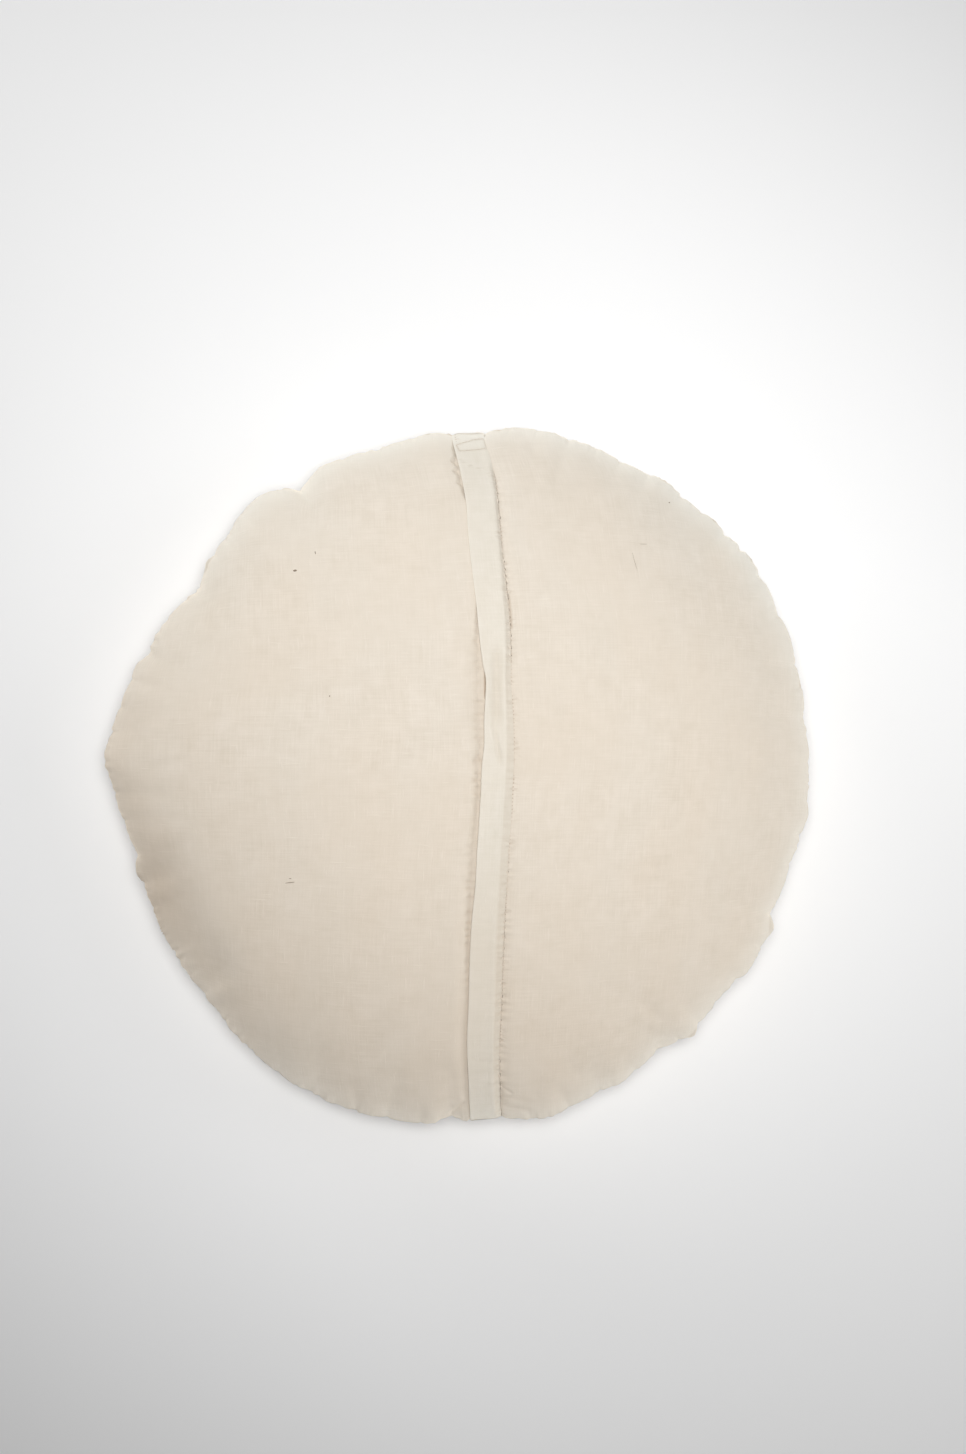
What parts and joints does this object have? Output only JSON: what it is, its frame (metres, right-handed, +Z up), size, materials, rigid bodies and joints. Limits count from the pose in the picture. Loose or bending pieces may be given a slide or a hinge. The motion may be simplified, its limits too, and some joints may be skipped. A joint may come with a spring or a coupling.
{
  "type": "round cushion",
  "caption": "Round stuffed cushion in plain linen, with a puckered seam round its rim and a stitched overlapping closing flap across its back.",
  "frame": {"origin": "on the floor, under the middle of the outline's bounding box", "axes": "+Z up, out of the side with the closing flap; +Y along the flap, towards its tacked end; +X towards the panel that carries the flap"},
  "size_m": [0.478, 0.4722, 0.1335],
  "materials": {
    "linen_cover": "fine plain-weave linen, matt, natural off-white",
    "linen_flap": "the same linen, doubled and pressed flat"
  },
  "bodies": {
    "root": {"cushion": "linen_cover", "closing_flap": "linen_flap"}
  },
  "joints": []
}
